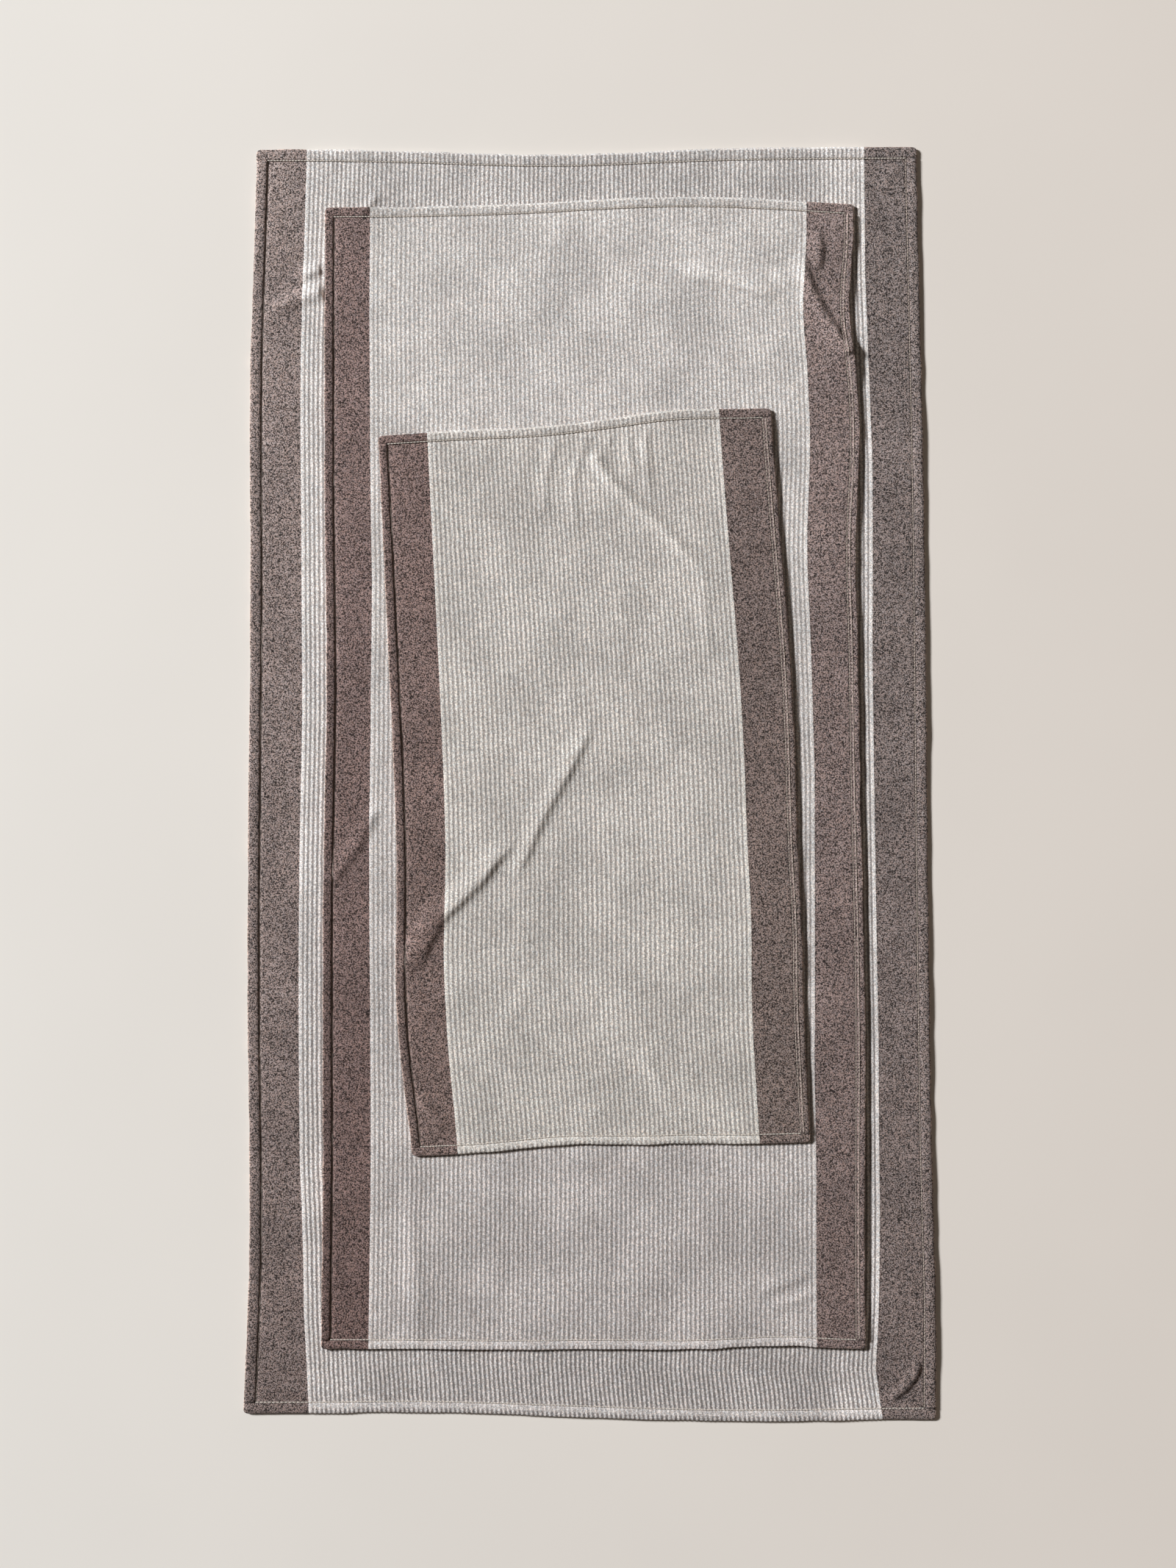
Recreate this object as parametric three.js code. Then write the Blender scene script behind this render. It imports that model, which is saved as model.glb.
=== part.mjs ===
// Bath towel set: a bath sheet, a bath towel and a hand towel of one striped terry design,
// laid out flat on one another, the largest at the bottom.
//
// Millimetres, +Z up. +Y runs along the towels to their top ends and +X to their right-hand
// sides. The origin is the middle of the set's box, on the surface that the set lies on.
//
// Every towel is one woven cloth with its four margins folded over and sewn down. A piece is
// shaped in its towel's own flat coordinates (u across from the left edge, v along from the
// bottom edge, z up) and then laid on the towel's outline, which is a little crooked because
// cloth never lies quite square. The pieces of a towel share their stations across and along,
// so neighbours bend alike and keep their clearance.

import * as THREE from 'three';

// ---- driving dimensions --------------------------------------------------------------------

const PILE_THICKNESS = 4.5; // cloth, from the loop tips of one face to those of the other
const HEM_THICKNESS = 7.5; // folded margin, where it is thickest
const THREAD_WIDTH = 1.0; // lockstitch, seen from above
const THREAD_INSET = 0.8; // how far the pulled thread lies below either face of the cloth
const CLEARANCE = 0.3; // between pieces that touch
const SIDE_ROOM = 20; // a towel's sides bend and tilt by less than this

// hemWidth runs from the fold to the seam groove. centre is where a towel's middle lies from
// the bath sheet's middle, turn its angle in degrees, anticlockwise, and lean how far its top
// end is pushed to the right of its bottom end. slope tilts an end. A side bends in smooth
// bulges away from the straight line between its corners: at counts from 0 to 1 anticlockwise
// round the towel, and out is outwards where it is positive.
const TOWELS = [
  {
    name: 'bath_sheet',
    topWidth: 834,
    bottomWidth: 876,
    length: 1604,
    hemWidth: 14,
    centre: [0, 0],
    lean: -4,
    turn: 0,
    slope: { top: 0.004, bottom: -0.009 },
    bends: {
      left: [{ at: 0.87, out: -7, spread: 0.16 }],
      bottom: [{ at: 0.27, out: -3, spread: 0.15 }, { at: 0.7, out: 6, spread: 0.22 }],
      right: [{ at: 0.08, out: 3, spread: 0.08 }, { at: 0.72, out: 5, spread: 0.25 }],
      top: [{ at: 0.46, out: -9, spread: 0.28 }],
    },
  },
  {
    name: 'bath_towel',
    topWidth: 668,
    bottomWidth: 688,
    length: 1443,
    hemWidth: 11,
    centre: [4, 6],
    lean: -5,
    turn: 0,
    slope: { top: 0.006, bottom: 0 },
    bends: {
      left: [{ at: 0.62, out: 4, spread: 0.25 }],
      bottom: [{ at: 0.35, out: 4, spread: 0.1 }, { at: 0.65, out: 4, spread: 0.1 },
        { at: 0.85, out: -3, spread: 0.08 }],
      right: [{ at: 0.3, out: 4, spread: 0.16 }, { at: 0.8, out: 4, spread: 0.08 },
        { at: 0.91, out: -6, spread: 0.05 }],
      top: [{ at: 0.33, out: 11, spread: 0.28 }],
    },
  },
  {
    name: 'hand_towel',
    topWidth: 497,
    bottomWidth: 503,
    length: 919,
    hemWidth: 11,
    centre: [6, -4],
    lean: 0,
    turn: 2.9,
    slope: { top: 0.02, bottom: -0.016 },
    bends: {
      left: [{ at: 0.8, out: 11, spread: 0.17 }],
      bottom: [{ at: 0.62, out: -5, spread: 0.25 }],
      right: [{ at: 0.62, out: 8, spread: 0.25 }],
      top: [{ at: 0.45, out: 3, spread: 0.2 }],
    },
  },
];

// ---- fineness of the model -----------------------------------------------------------------

const STEPS_ACROSS = 12;
const STEPS_ALONG = 20;
const FOLD_FACETS = 5; // round the hem's folded edge
const SHOULDER_FACETS = 2; // where the hem turns down into its seam

// ---- materials -----------------------------------------------------------------------------

const STRIPED_TERRY = new THREE.MeshStandardMaterial({
  name: 'striped_terry', color: '#bab2ad', roughness: 0.95, metalness: 0,
});
const TAUPE_TERRY = new THREE.MeshStandardMaterial({
  name: 'taupe_terry', color: '#75635e', roughness: 0.95, metalness: 0,
});
const SEAM_THREAD = new THREE.MeshStandardMaterial({
  name: 'seam_thread', color: '#a08d84', roughness: 0.7, metalness: 0,
});

// ---- outline of a towel as it lies ---------------------------------------------------------

const widthOf = (towel) => (towel.topWidth + towel.bottomWidth) / 2;

function cornersOf(towel) {
  const corner = (end, side) => {
    const x = side * (end > 0 ? towel.topWidth : towel.bottomWidth) / 2;
    const y = end * towel.length / 2 + x * (end > 0 ? towel.slope.top : towel.slope.bottom);
    return new THREE.Vector2(x + end * towel.lean / 2, y)
      .rotateAround(new THREE.Vector2(), THREE.MathUtils.degToRad(towel.turn))
      .add(new THREE.Vector2(...towel.centre));
  };
  return {
    topLeft: corner(1, -1),
    topRight: corner(1, 1),
    bottomLeft: corner(-1, -1),
    bottomRight: corner(-1, 1),
  };
}

// A point on a side: the straight line between its corners plus its bulges, which fade out at
// both corners.
function sidePoint(from, to, bends, share) {
  const line = to.clone().sub(from);
  const outwards = new THREE.Vector2(line.y, -line.x).normalize();
  const fade = 1 - (2 * share - 1) ** 8;
  const point = from.clone().addScaledVector(line, share);
  for (const { at, out, spread } of bends) {
    point.addScaledVector(outwards, out * fade * Math.exp(-(((share - at) / spread) ** 2)));
  }
  return point;
}

// Where the flat point (u, v) comes to lie: a Coons patch between the four bent sides.
function layPoint(towel, u, v) {
  const s = u / widthOf(towel);
  const t = v / towel.length;
  const { topLeft, topRight, bottomLeft, bottomRight } = cornersOf(towel);
  const { left, bottom, right, top } = towel.bends;
  return new THREE.Vector2()
    .addScaledVector(sidePoint(topLeft, bottomLeft, left, 1 - t), 1 - s)
    .addScaledVector(sidePoint(bottomRight, topRight, right, t), s)
    .addScaledVector(sidePoint(bottomLeft, bottomRight, bottom, s), 1 - t)
    .addScaledVector(sidePoint(topRight, topLeft, top, 1 - s), t)
    .addScaledVector(bottomLeft, -(1 - s) * (1 - t))
    .addScaledVector(bottomRight, -s * (1 - t))
    .addScaledVector(topLeft, -(1 - s) * t)
    .addScaledVector(topRight, -s * t);
}

// ---- pieces --------------------------------------------------------------------------------

// Distances from an edge, inwards: hem, then seam thread, then cloth.
const threadStart = (towel) => towel.hemWidth + CLEARANCE;
const clothStart = (towel) => threadStart(towel) + THREAD_WIDTH + CLEARANCE;

// The stations of one length, with the first and last moved in to where the piece ends.
function stationsOf(length, steps, margin) {
  return Array.from({ length: steps + 1 }, (_, i) => (
    THREE.MathUtils.clamp(length * i / steps, margin, length - margin)
  ));
}

// The four sides, anticlockwise: where each starts, which way it runs and which way is inwards.
function sidesOf(towel) {
  const width = widthOf(towel);
  const { length } = towel;
  const upright = { length, steps: STEPS_ALONG };
  const level = { length: width, steps: STEPS_ACROSS };
  return {
    left: { start: [0, length], along: [0, -1], inwards: [1, 0], ...upright },
    bottom: { start: [0, 0], along: [1, 0], inwards: [0, 1], ...level },
    right: { start: [width, 0], along: [0, 1], inwards: [-1, 0], ...upright },
    top: { start: [width, length], along: [-1, 0], inwards: [0, -1], ...level },
  };
}

function arc(x, y, radius, fromAngle, toAngle, facets) {
  return Array.from({ length: facets + 1 }, (_, i) => {
    const angle = fromAngle + (toAngle - fromAngle) * i / facets;
    return new THREE.Vector2(x + radius * Math.cos(angle), y + radius * Math.sin(angle));
  });
}

// Flat below, a half-round fold at the outer edge, x = 0, and a rounded shoulder at the seam.
function hemSection({ hemWidth }) {
  const fold = HEM_THICKNESS / 2;
  const shoulder = (hemWidth - fold) / 3;
  const quarter = Math.PI / 2;
  return new THREE.Shape([
    new THREE.Vector2(hemWidth, 0),
    ...arc(hemWidth - shoulder, HEM_THICKNESS - shoulder, shoulder, 0, quarter, SHOULDER_FACETS),
    ...arc(fold, fold, fold, quarter, 3 * quarter, FOLD_FACETS),
  ]);
}

function threadSection(towel) {
  const start = threadStart(towel);
  return new THREE.Shape([
    new THREE.Vector2(start, THREAD_INSET),
    new THREE.Vector2(start + THREAD_WIDTH, THREAD_INSET),
    new THREE.Vector2(start + THREAD_WIDTH, PILE_THICKNESS - THREAD_INSET),
    new THREE.Vector2(start, PILE_THICKNESS - THREAD_INSET),
  ]);
}

// Moves every vertex of a geometry through place(x, y, z), which gives [u, v, height], and on
// to where the towel lies.
function lay(geometry, towel, base, place) {
  const position = geometry.getAttribute('position');
  for (let i = 0; i < position.count; i += 1) {
    const [u, v, height] = place(position.getX(i), position.getY(i), position.getZ(i));
    const point = layPoint(towel, u, v);
    position.setXYZ(i, point.x, point.y, base + height);
  }
  geometry.computeVertexNormals();
  return geometry;
}

// A section swept along a side. It is extruded one unit for each station, so that a vertex's z
// is the number of its station.
function sideStrip(towel, base, side, section, margin) {
  const { start, along, inwards, length, steps } = side;
  const stations = stationsOf(length, steps, margin);
  const strip = new THREE.ExtrudeGeometry(section, { depth: steps, steps, bevelEnabled: false });
  return lay(strip, towel, base, (inset, height, station) => {
    const run = stations[Math.round(station)];
    return [
      start[0] + along[0] * run + inwards[0] * inset,
      start[1] + along[1] * run + inwards[1] * inset,
      height,
    ];
  });
}

// The cloth inside the seams, as a slab with one unit for each station across and along.
function clothSlab(towel, base) {
  const across = stationsOf(widthOf(towel), STEPS_ACROSS, clothStart(towel));
  const along = stationsOf(towel.length, STEPS_ALONG, clothStart(towel));
  const slab = new THREE.BoxGeometry(
    STEPS_ACROSS, STEPS_ALONG, PILE_THICKNESS, STEPS_ACROSS, STEPS_ALONG, 1,
  ).translate(STEPS_ACROSS / 2, STEPS_ALONG / 2, PILE_THICKNESS / 2);
  return lay(slab, towel, base, (i, j, height) => (
    [across[Math.round(i)], along[Math.round(j)], height]
  ));
}

// ---- towels --------------------------------------------------------------------------------

function namedMesh(towel, piece, geometry, material) {
  const mesh = new THREE.Mesh(geometry, material.clone());
  mesh.name = `${towel.name}_${piece}`;
  return mesh;
}

function buildTowel(towel, base) {
  const group = new THREE.Group();
  const [hemEnd, seamEnd] = [threadStart(towel), clothStart(towel)];
  group.add(namedMesh(towel, 'cloth', clothSlab(towel, base), STRIPED_TERRY));
  for (const [name, side] of Object.entries(sidesOf(towel))) {
    // The end hems are folded last and run the towel's whole width, past the side hems' ends.
    const isEnd = name === 'top' || name === 'bottom';
    const hem = sideStrip(towel, base, side, hemSection(towel), isEnd ? 0 : hemEnd);
    const seam = sideStrip(towel, base, side, threadSection(towel), isEnd ? hemEnd : seamEnd);
    group.add(namedMesh(towel, `hem_${name}`, hem, isEnd ? STRIPED_TERRY : TAUPE_TERRY));
    group.add(namedMesh(towel, `stitch_${name}`, seam, SEAM_THREAD));
  }
  return group;
}

// True if the upper towel lies within the lower one's seams, and so clear of its thicker hems.
function liesInsideSeams(upper, lower) {
  const halfWidth = Math.min(lower.topWidth, lower.bottomWidth) / 2 - lower.hemWidth - SIDE_ROOM;
  const halfLength = lower.length / 2 - lower.hemWidth - SIDE_ROOM;
  return Object.values(cornersOf(upper)).every((corner) => (
    Math.abs(corner.x - lower.centre[0]) < halfWidth
    && Math.abs(corner.y - lower.centre[1]) < halfLength
  ));
}

const set = new THREE.Group();
let base = 0;
TOWELS.forEach((towel, level) => {
  set.add(buildTowel(towel, base));
  const next = TOWELS[level + 1];
  if (next) {
    base += (liesInsideSeams(next, towel) ? PILE_THICKNESS : HEM_THICKNESS) + CLEARANCE;
  }
});

const middle = new THREE.Box3().setFromObject(set).getCenter(new THREE.Vector3());
set.position.set(-middle.x, -middle.y, 0);

export default set;
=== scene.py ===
"""Looks of the bath towel set: three striped terry towels laid out on one another.

Lengths are millimetres while a piece is shaped, and metres once it is a Blender mesh. A piece
is shaped in its towel's flat coordinates (u across from the left edge, v along from the bottom
edge) and then laid on the towel's outline, whose corners and heights come from the CAD frame.
"""

import math

import bpy
import numpy as np
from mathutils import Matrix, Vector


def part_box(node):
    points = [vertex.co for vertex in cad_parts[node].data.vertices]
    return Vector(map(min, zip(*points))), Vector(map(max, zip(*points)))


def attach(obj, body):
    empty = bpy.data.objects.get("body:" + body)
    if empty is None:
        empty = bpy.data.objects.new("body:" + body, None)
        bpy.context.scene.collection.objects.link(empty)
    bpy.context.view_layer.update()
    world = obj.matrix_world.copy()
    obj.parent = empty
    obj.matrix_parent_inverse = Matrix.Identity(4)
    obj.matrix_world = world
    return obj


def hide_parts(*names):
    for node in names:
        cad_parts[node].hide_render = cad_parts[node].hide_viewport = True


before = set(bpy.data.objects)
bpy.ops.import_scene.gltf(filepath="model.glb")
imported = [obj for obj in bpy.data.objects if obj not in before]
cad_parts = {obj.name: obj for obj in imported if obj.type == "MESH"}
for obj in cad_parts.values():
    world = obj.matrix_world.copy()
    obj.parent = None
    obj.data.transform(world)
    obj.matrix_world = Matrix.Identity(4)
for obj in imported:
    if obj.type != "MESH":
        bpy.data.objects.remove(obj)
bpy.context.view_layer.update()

MM = 0.001

# ---- camera, straight above ------------------------------------------------------------------

VIEW_LENGTH = 1.984  # metres of floor from the top to the bottom of the picture
VIEW_CENTRE = (-0.0023, 0.0009)
CAMERA_HEIGHT = 4.0
CAMERA_REACH = 200.0
SENSOR = 36.0

camera_data = bpy.data.cameras.new("camera")
camera_data.sensor_width = SENSOR
camera_data.lens = SENSOR * CAMERA_HEIGHT / VIEW_LENGTH
camera_data.clip_end = CAMERA_REACH
camera = bpy.data.objects.new("camera", camera_data)
camera.location = (*VIEW_CENTRE, CAMERA_HEIGHT)
bpy.context.scene.collection.objects.link(camera)
bpy.context.scene.camera = camera

# ---- the towels ------------------------------------------------------------------------------

# level counts from the bottom of the stack, hem is the hems' width, and outer_drop is how far
# the hems fall away towards their folds, as a share of their height. ribs is how many cream
# ribs there are, and row the usual spacing of the mesh's rows. Bands are the widths of the
# plain taupe margins, from the towel's bottom end to its top, as (share of the length, width).
# Sides count anticlockwise, each from 0 to 1. A bend is (where, how far outwards, spread).
TOWELS = {
    "bath_sheet": {
        "level": 0,
        "outer_drop": 0.3,
        "hem": 14.0,
        "ribs": 125,
        "row": 12.0,
        "bands": {
            "left": [(0, 81), (0.03, 77), (0.08, 70), (0.2, 63), (0.45, 65), (0.55, 67),
                     (0.65, 65), (0.85, 64), (1, 65)],
            "right": [(0, 66), (0.04, 75), (0.08, 72), (0.17, 67), (0.3, 65), (0.6, 68),
                      (0.75, 65), (0.9, 70), (1, 68)],
        },
        "bends": {
            "left": [(0.18, 4, 0.12), (0.5, 2, 0.6), (0.87, -7, 0.16)],
            "bottom": [(0.27, -3, 0.15), (0.7, 4.5, 0.2)],
            "right": [(0.08, 3, 0.08), (0.72, 3, 0.25)],
            "top": [(0.56, -8, 0.2)],
        },
    },
    "bath_towel": {
        "level": 1,
        "outer_drop": 0.0,
        "hem": 11.0,
        "ribs": 96,
        "row": 10.0,
        "bands": {
            "left": [(0, 59), (0.15, 60), (0.3, 59.5), (0.47, 57), (0.58, 56.5), (0.68, 59.5),
                     (0.8, 58), (1, 58)],
            "right": [(0, 61), (0.15, 61), (0.25, 64), (0.35, 62), (0.5, 58), (0.68, 62),
                      (0.77, 63), (0.83, 64), (0.91, 60), (1, 61)],
        },
        "bends": {
            "left": [(0.42, -4, 0.13), (0.85, -1.5, 0.15)],
            "bottom": [(0.35, 1, 0.1), (0.65, 1, 0.1), (0.85, -4, 0.1)],
            "right": [(0.3, 4, 0.16), (0.7, -2.5, 0.06), (0.8, 5, 0.07), (0.915, -9, 0.045)],
            "top": [(0.33, 11, 0.28)],
        },
    },
    "hand_towel": {
        "level": 2,
        "outer_drop": 0.22,
        "hem": 11.0,
        "ribs": 64,
        "row": 3.2,
        "bands": {
            "left": [(0, 57.5), (0.08, 59), (0.2, 60.5), (0.28, 59), (0.42, 61.5), (0.7, 62),
                     (1, 62.5)],
            "right": [(0, 64), (0.15, 64), (0.35, 62.5), (0.5, 63.5), (0.63, 65), (0.75, 66),
                      (1, 66.5)],
        },
        "bends": {
            "left": [(0.8, 11, 0.17)],
            "bottom": [(0.4, -7, 0.17), (0.68, -3, 0.14)],
            "right": [(0.3, 3, 0.08), (0.62, 8, 0.25)],
            "top": [(0.24, 6, 0.15), (0.6, -3, 0.15)],
        },
    },
}

FIRST_RIB = 0.4  # from the band's edge to the first rib's crest, in ribs
RIB_RISE = 0.9  # a rib's crest above the stripe beside it
UNDERSIDE_RIB_RISE = 0.3
SEAM_GAP = 0.3
THREAD_WIDTH = 1.0

# Folds and ridges that the cloth has kept. A route is walked from its upper end; rise is its
# height, left and right are the widths of the slopes on those sides of it, and fade is how long
# the two ends take to die out. pale is how much stronger than usual its painted highlight is (1
# if not given).
CREASES = {
    "hand_towel": [
        # the long double fold across the middle of the hand towel
        {"rise": 4.1, "left": 6.5, "right": 14, "pale": 2.2, "fade": (70, 60),
         "route": [(5, 96), (-3, 68), (-20, 31), (-40, -5), (-58, -37), (-71, -65), (-83, -92),
                   (-105, -129)]},
        {"rise": 5.4, "left": 7.0, "right": 17, "pale": 1.7, "fade": (60, 35),
         "route": [(-89, -49), (-103, -78), (-122, -99), (-139, -122), (-162, -144), (-185, -166),
                   (-199, -188), (-210, -212), (-218, -240)]},
        {"rise": 4.2, "left": 12, "right": 8, "fade": (18, 25),
         "route": [(-194, -148), (-209, -173), (-220, -196), (-229, -219), (-235, -248)]},
        # the fold that starts at the hand towel's top seam, and the gathers beside it
        {"rise": 6.0, "left": 10, "right": 7, "pale": 1.5, "fade": (12, 80),
         "route": [(1, 419), (12, 401), (24, 384), (42, 364), (64, 345), (89, 323), (114, 299),
                   (137, 275), (159, 247)]},
        {"rise": 1.6, "left": 7, "right": 6, "fade": (10, 30),
         "route": [(-4, 442), (-15, 406), (-22, 380), (-20, 338), (-15, 312)]},
        {"rise": 1.6, "left": 6, "right": 8, "fade": (10, 30),
         "route": [(-44, 438), (-51, 406), (-57, 380), (-55, 330)]},
        {"rise": 1.6, "left": 5, "right": 5, "fade": (8, 10),
         "route": [(24, 442), (24, 422)]},
        {"rise": 1.6, "left": 5, "right": 6, "fade": (10, 25),
         "route": [(51, 444), (48, 423), (53, 406), (56, 380)]},
        {"rise": 2.2, "left": 6, "right": 7, "fade": (10, 35),
         "route": [(69, 448), (71, 420), (72, 389), (79, 352)]},
        {"rise": 1.3, "left": 6, "right": 9, "fade": (50, 50),
         "route": [(140, 280), (146, 220), (154, 140)]},
        {"rise": 2.0, "left": 9, "right": 9, "fade": (30, 30),
         "route": [(64, -330), (84, -370), (108, -410)]},
        {"rise": 3.5, "left": 9, "right": 7, "fade": (18, 18),
         "route": [(-218, -389), (-200, -417), (-180, -441)]},
    ],
    "bath_towel": [
        # round the bath towel's top right corner
        {"rise": 7.0, "left": 14, "right": 7, "pale": 2.5, "fade": (60, 60),
         "route": [(95, 651), (128, 645), (160, 638), (203, 626), (232, 617), (262, 607)]},
        {"rise": 4.5, "left": 12, "right": 6, "fade": (20, 35),
         "route": [(222, 645), (263, 630), (278, 622)]},
        {"rise": 5.0, "left": 4, "right": 11, "fade": (20, 20),
         "route": [(288, 706), (291, 672), (285, 640)]},
        {"rise": 7.2, "left": 5.5, "right": 13, "fade": (50, 8),
         "route": [(263, 690), (268, 670), (276, 636), (288, 610), (299, 589), (310, 574),
                   (320, 559), (332, 542)]},
        {"rise": 5.0, "left": 14, "right": 14, "fade": (14, 40),
         "route": [(334, 566), (340, 540), (342, 500)]},
        # elsewhere on the bath towel
        {"rise": 4.0, "left": 7, "right": 9, "fade": (25, 25),
         "route": [(-262, -22), (-282, -52), (-296, -79), (-318, -110), (-334, -130)]},
        {"rise": 2.6, "left": 13, "right": 13, "fade": (70, 40),
         "route": [(-228, -480), (-224, -590), (-220, -715)]},
        {"rise": 2.5, "left": 6, "right": 11, "fade": (25, 25),
         "route": [(289, -613), (247, -628), (205, -643)]},
        {"rise": 2.0, "left": 8, "right": 6, "fade": (25, 25),
         "route": [(297, -636), (255, -651), (213, -666)]},
    ],
    "bath_sheet": [
        # the bath sheet's margins
        {"rise": 7.0, "left": 10, "right": 10, "fade": (10, 35),
         "route": [(-334, 625), (-370, 613), (-414, 594)]},
        {"rise": 5.5, "left": 6, "right": 8, "fade": (8, 22),
         "route": [(-337, 652), (-377, 640)]},
        {"rise": 3.0, "left": 5, "right": 6, "fade": (8, 10),
         "route": [(-266, 746), (-292, 717)]},
        {"rise": 1.2, "left": 6, "right": 8, "fade": (12, 15),
         "route": [(390, 784), (369, 743)]},
        {"rise": 5.0, "left": 3.5, "right": 10, "fade": (15, 15),
         "route": [(418, -726), (411, -746), (397, -764), (374, -780)]},
    ],
}

CREASE_UNEVENNESS = 0.1  # as a share of the crease's rise
CREASE_UNEVEN_SIZE = 12
CREASE_REACH = 3  # how far out its slopes are followed, in their own widths
CREASE_SMOOTHING = 10  # steps of the curve from one point of a route to the next
# The rise at which a crease counts once for its painted highlight, how many times it can count,
# and how much lighter the highlight paints it for each.
FULL_FOLD = 6.0
MOST_HIGHLIGHT = 2.5
FOLD_HIGHLIGHT = 0.08
# Soft hollows and swellings over the whole set: height and size.
SWELL_RISE = 1.2
SWELL_SIZE = 95.0

# One seed for each use of noise. Ribs, wander and hems add the towel's level.
SEEDS = {"swell": 11, "ribs": 21, "loops": 31, "clumps": 32, "wander": 41, "hems": 51,
         "creases": 61}
NOISE_CELLS = 256  # after which the noise repeats
# Where on the noise the set lies.
SWELL_SHIFT = 900
FINE_SHIFT = 1000

# ---- shapes in the flat ----------------------------------------------------------------------

BAND_SAMPLES = 50  # for a band's mean width
BEND_FADE_POWER = 8  # the higher, the closer to the corners the bends die out


def noise(x, y, cell, seed):
    """Smooth noise from -1 to 1 that changes over about one cell."""
    lattice = np.random.default_rng(seed).uniform(-1, 1, (NOISE_CELLS, NOISE_CELLS))
    x, y = np.asarray(x, float) / cell, np.asarray(y, float) / cell
    i, j = np.floor(x).astype(int), np.floor(y).astype(int)
    a, b = x - i, y - j
    a, b = a * a * (3 - 2 * a), b * b * (3 - 2 * b)
    corner = [
        lattice[(i + p) % NOISE_CELLS, (j + q) % NOISE_CELLS] for p in (0, 1) for q in (0, 1)
    ]
    return (
        corner[0] * (1 - a) * (1 - b)
        + corner[1] * (1 - a) * b
        + corner[2] * a * (1 - b)
        + corner[3] * a * b
    )


def fade_in(x, length):
    """0 at 0 and below, 1 from length on, smooth between."""
    t = np.clip(x / length, 0, 1)
    return t * t * (3 - 2 * t)


def node_points(node):
    """The corners of a CAD node, in millimetres."""
    return np.array([v.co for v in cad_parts[node].data.vertices]) / MM


def measure(name, towel):
    """Adds what the CAD says about the towel: its corners, size and heights."""
    towel["name"] = name
    for end_name, end in (("top", 1), ("bottom", -1)):
        points = node_points(f"{name}_hem_{end_name}")[:, :2]
        for side_name, side in (("left", -1), ("right", 1)):
            towel[end_name, side_name] = points[np.argmax(points @ np.array([side, end]))]
    corners = {key: towel[key] for key in towel if isinstance(key, tuple)}

    def apart(a, b):
        return float(np.linalg.norm(corners[a] - corners[b]))

    towel["width"] = (
        apart(("top", "left"), ("top", "right")) + apart(("bottom", "left"), ("bottom", "right"))
    ) / 2
    towel["length"] = (
        apart(("top", "left"), ("bottom", "left")) + apart(("top", "right"), ("bottom", "right"))
    ) / 2
    low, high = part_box(f"{name}_cloth")
    towel["base"] = low.z / MM
    towel["pile"] = (high.z - low.z) / MM
    low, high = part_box(f"{name}_hem_left")
    towel["hem_rise"] = (high.z - low.z) / MM
    shares = np.linspace(0, 1, BAND_SAMPLES)
    towel["band"] = {
        side: float(np.mean(np.interp(shares, *zip(*towel["bands"][side]))))
        for side in ("left", "right")
    }
    # The crests of the first and last rib are FIRST_RIB of a rib from the bands.
    towel["field"] = towel["ribs"] - 1 + 2 * FIRST_RIB
    between = towel["width"] - towel["band"]["left"] - towel["band"]["right"]
    towel["pitch"] = between / towel["field"]
    return towel


def ribs_at(towel, u):
    """u counted in ribs from the inner edge of the left band."""
    return (u - towel["band"]["left"]) / towel["pitch"]


def laid_across(towel, u, v):
    """Where u comes to lie across the towel: the bands' widths vary along it."""
    width, hem = towel["width"], towel["hem"]
    share = np.clip(v / towel["length"], 0, 1)
    left, right = (np.interp(share, *zip(*towel["bands"][side])) for side in ("left", "right"))
    flat_stops = [0, hem, towel["band"]["left"], width - towel["band"]["right"], width - hem,
                  width]
    same = np.ones_like(share)
    laid_stops = np.stack([0 * same, hem * same, left, width - right, (width - hem) * same,
                           width * same])
    place = np.interp(u, flat_stops, range(6))
    stop = np.clip(place.astype(int), 0, 4)
    part = place - stop
    columns = np.arange(len(u))
    laid = laid_stops[stop, columns] * (1 - part) + laid_stops[stop + 1, columns] * part
    return laid + u - np.clip(u, 0, width)


def side_point(start, end, bends, share):
    """The straight line between two corners plus its bends, which fade out at the corners."""
    line = end - start
    outwards = np.array([line[1], -line[0]]) / np.linalg.norm(line)
    fade = 1 - (2 * share - 1) ** BEND_FADE_POWER
    out = sum(far * np.exp(-(((share - at) / spread) ** 2)) for at, far, spread in bends) * fade
    return start + share[:, None] * line + out[:, None] * outwards


def lay(towel, u, v):
    """Where flat points come to lie: a Coons patch between the towel's four bent sides."""
    s = laid_across(towel, u, v) / towel["width"]
    t = v / towel["length"]
    top_left, top_right = towel["top", "left"], towel["top", "right"]
    bottom_left, bottom_right = towel["bottom", "left"], towel["bottom", "right"]
    bends = towel["bends"]
    left = side_point(top_left, bottom_left, bends["left"], 1 - np.clip(t, 0, 1))
    right = side_point(bottom_right, top_right, bends["right"], np.clip(t, 0, 1))
    bottom = side_point(bottom_left, bottom_right, bends["bottom"], np.clip(s, 0, 1))
    top = side_point(top_right, top_left, bends["top"], 1 - np.clip(s, 0, 1))
    s, t = s[:, None], t[:, None]
    return (
        left * (1 - s) + right * s + bottom * (1 - t) + top * t
        - bottom_left * (1 - s) * (1 - t) - bottom_right * s * (1 - t)
        - top_left * (1 - s) * t - top_right * s * t
    )


# ---- relief ----------------------------------------------------------------------------------


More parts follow.
